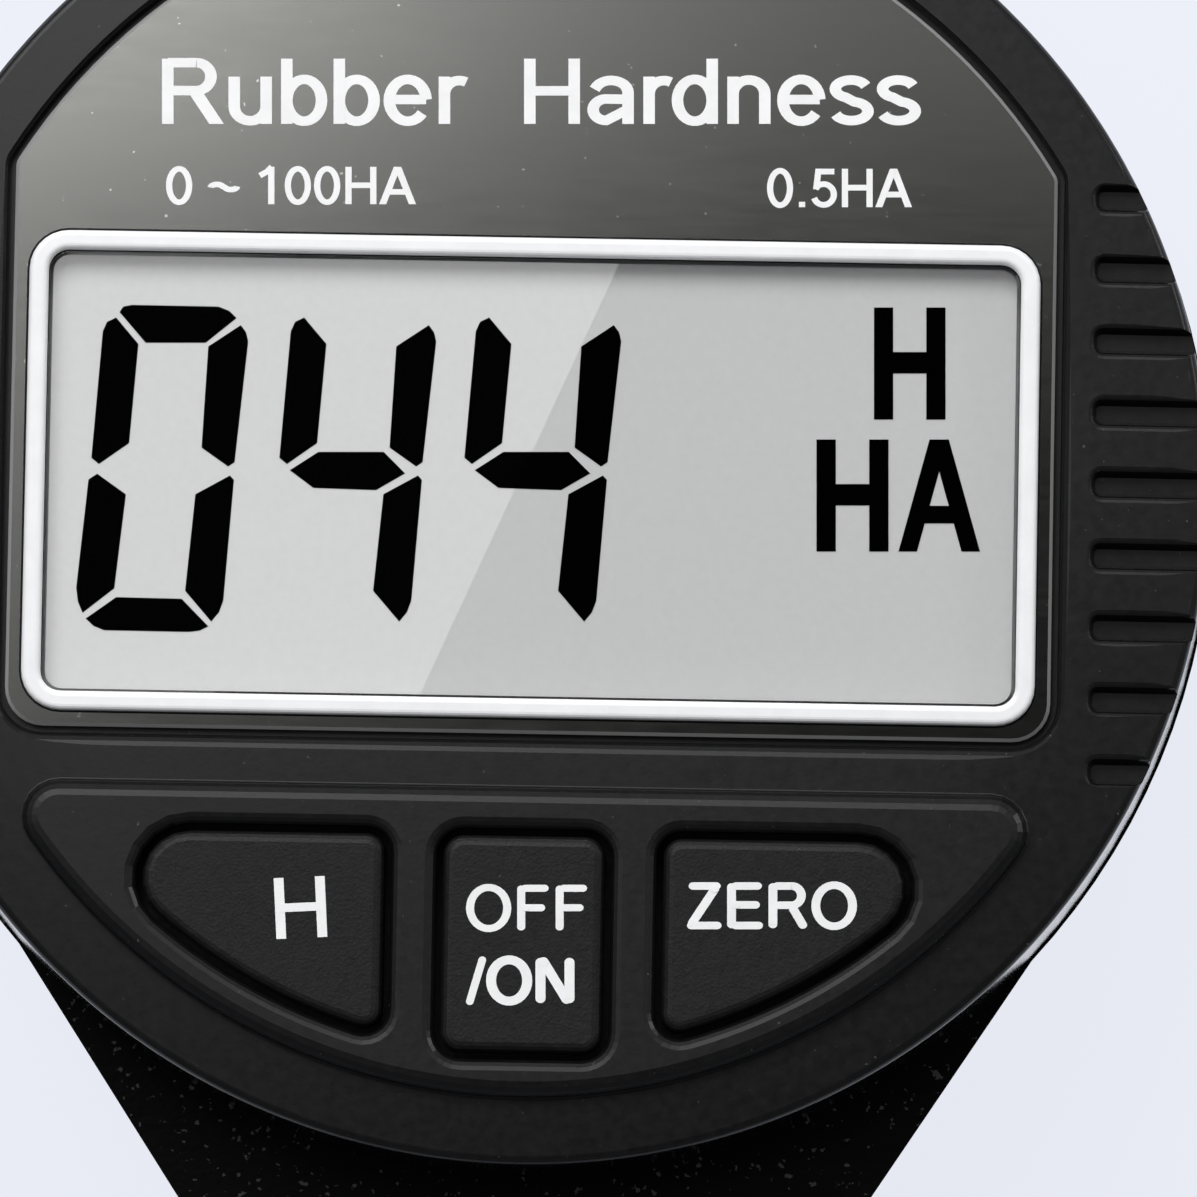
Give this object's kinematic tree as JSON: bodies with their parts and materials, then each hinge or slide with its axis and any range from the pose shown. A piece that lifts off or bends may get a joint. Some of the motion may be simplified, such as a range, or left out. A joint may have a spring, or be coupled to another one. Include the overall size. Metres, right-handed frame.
{
  "type": "durometer",
  "caption": "Digital hardness gauge with a round display head, three keys, grip grooves, tapering neck, steel presser foot and a sprung indenter, lying on its back.",
  "frame": {"origin": "middle of the round head on the rear cover's outer face, which the gauge lies on", "axes": "+Y from the presser foot towards the head, +Z out of the display, +X to the right as the display is read"},
  "size_m": [0.061, 0.0843, 0.0285],
  "materials": {
    "front_black": "fine matte black plastic",
    "case_black": "black crackle paint on a light alloy casting",
    "screw_steel": "plain steel",
    "plate_grey": "dark grey anodised, finely brushed",
    "frame_white": "white plastic",
    "lens_clear": "clear lens",
    "lcd_grey": "grey reflective display",
    "inner_black": "black plastic",
    "strip_rubber": "soft black rubber",
    "board_green": "green board",
    "plunger_cream": "cream plastic",
    "key_black": "matte black rubber",
    "cap_black": "black plastic",
    "cell_steel": "bright steel",
    "contact_brass": "spring brass",
    "foot_steel": "fine turned steel",
    "bush_brass": "turned brass",
    "spindle_steel": "ground steel",
    "carrier_alloy": "milled alloy"
  },
  "bodies": {
    "case": {"front_housing": "front_black", "rear_case": "case_black", "rear_cover": "case_black", "case_screws": "screw_steel", "faceplate": "plate_grey", "window_frame": "frame_white", "window_lens": "lens_clear", "lcd_panel": "lcd_grey", "lcd_carrier": "inner_black", "zebra_strips": "strip_rubber", "main_board": "board_green", "board_screws": "screw_steel", "controller_chip": "inner_black", "switch_bodies": "inner_black", "cap_gasket": "strip_rubber", "coin_cell": "cell_steel", "positive_contact": "contact_brass", "negative_contact": "contact_brass", "presser_foot": "foot_steel", "foot_screw": "screw_steel", "lower_bush": "bush_brass", "spring_adjuster": "bush_brass", "adjuster_nut": "bush_brass", "guide_pin": "spindle_steel", "main_spring": "spindle_steel"},
    "spindle": {"spindle": "spindle_steel", "indenter": "spindle_steel", "spring_collar": "bush_brass", "collar_screw": "screw_steel", "scale_carrier": "carrier_alloy", "carrier_screw": "screw_steel", "grid_plate": "board_green"},
    "hold_key": {"hold_key": "key_black", "hold_plunger": "plunger_cream"},
    "power_key": {"power_key": "key_black", "power_plunger": "plunger_cream"},
    "zero_key": {"zero_key": "key_black", "zero_plunger": "plunger_cream"},
    "battery_cap": {"battery_cap": "cap_black"}
  },
  "joints": [
    {"name": "indenter_slide", "type": "slide", "parent": "case", "child": "spindle", "axis": [0, 1, 0], "range_m": [0, 0.0025], "stiffness_N_per_m": 3000, "springref_m": -0.00018, "deforming": ["main_spring"]},
    {"name": "hold_press", "type": "slide", "parent": "case", "child": "hold_key", "axis": [0, 0, -1], "range_m": [0, 0.0005], "stiffness_N_per_m": 2500, "springref_m": -0.0004},
    {"name": "power_press", "type": "slide", "parent": "case", "child": "power_key", "axis": [0, 0, -1], "range_m": [0, 0.0005], "stiffness_N_per_m": 2500, "springref_m": -0.0004},
    {"name": "zero_press", "type": "slide", "parent": "case", "child": "zero_key", "axis": [0, 0, -1], "range_m": [0, 0.0005], "stiffness_N_per_m": 2500, "springref_m": -0.0004},
    {"name": "battery_cap_turn", "type": "hinge", "parent": "case", "child": "battery_cap", "pos_m": [0, 0.0145, 0], "axis": [0, 0, 1], "range_deg": [0, 60]}
  ]
}
